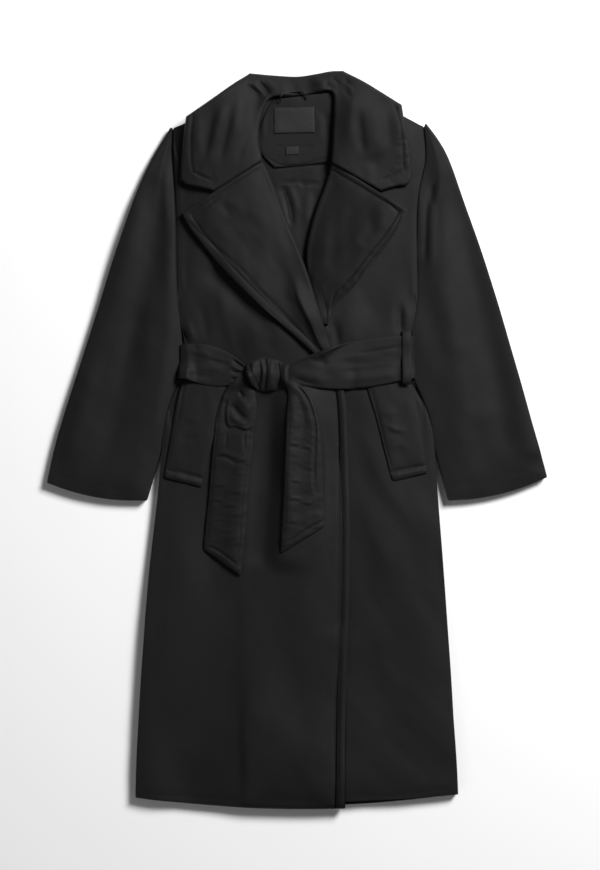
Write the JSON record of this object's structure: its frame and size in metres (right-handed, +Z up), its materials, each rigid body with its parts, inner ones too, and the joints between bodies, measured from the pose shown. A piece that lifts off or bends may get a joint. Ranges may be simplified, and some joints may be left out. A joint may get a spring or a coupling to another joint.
{
  "type": "padded coat",
  "caption": "Long padded wrap coat with a notched collar, wide lapels, welt pockets and a tied cloth belt, laid flat on its back with the fronts lapped.",
  "frame": {"origin": "centre of the bounding box's underside, on the surface that the coat lies on", "axes": "+X towards the wearer's left, +Y along the coat from hem to collar, +Z up from the surface through the back to the fronts"},
  "size_m": [0.8238, 1.2154, 0.0516],
  "materials": {
    "shell_cloth": "satin padded shell cloth, near black",
    "lining_cloth": "smooth lining twill, near black",
    "label_cloth": "bare woven label, black"
  },
  "bodies": {
    "root": {"back": "shell_cloth", "front_left": "shell_cloth", "front_right": "shell_cloth", "lapel_left": "shell_cloth", "lapel_right": "shell_cloth", "collar": "shell_cloth", "back_facing": "shell_cloth", "sleeve_left_under": "shell_cloth", "sleeve_left_top": "shell_cloth", "sleeve_right_under": "shell_cloth", "sleeve_right_top": "shell_cloth", "pocket_welt_left": "shell_cloth", "pocket_welt_right": "shell_cloth", "belt_back": "shell_cloth", "belt_left": "shell_cloth", "belt_right": "shell_cloth", "belt_loop": "shell_cloth", "belt_knot": "shell_cloth", "belt_tail_long": "shell_cloth", "belt_tail_short": "shell_cloth", "lining": "lining_cloth", "hanger_loop": "lining_cloth", "neck_label": "label_cloth", "size_label": "label_cloth"}
  },
  "joints": []
}
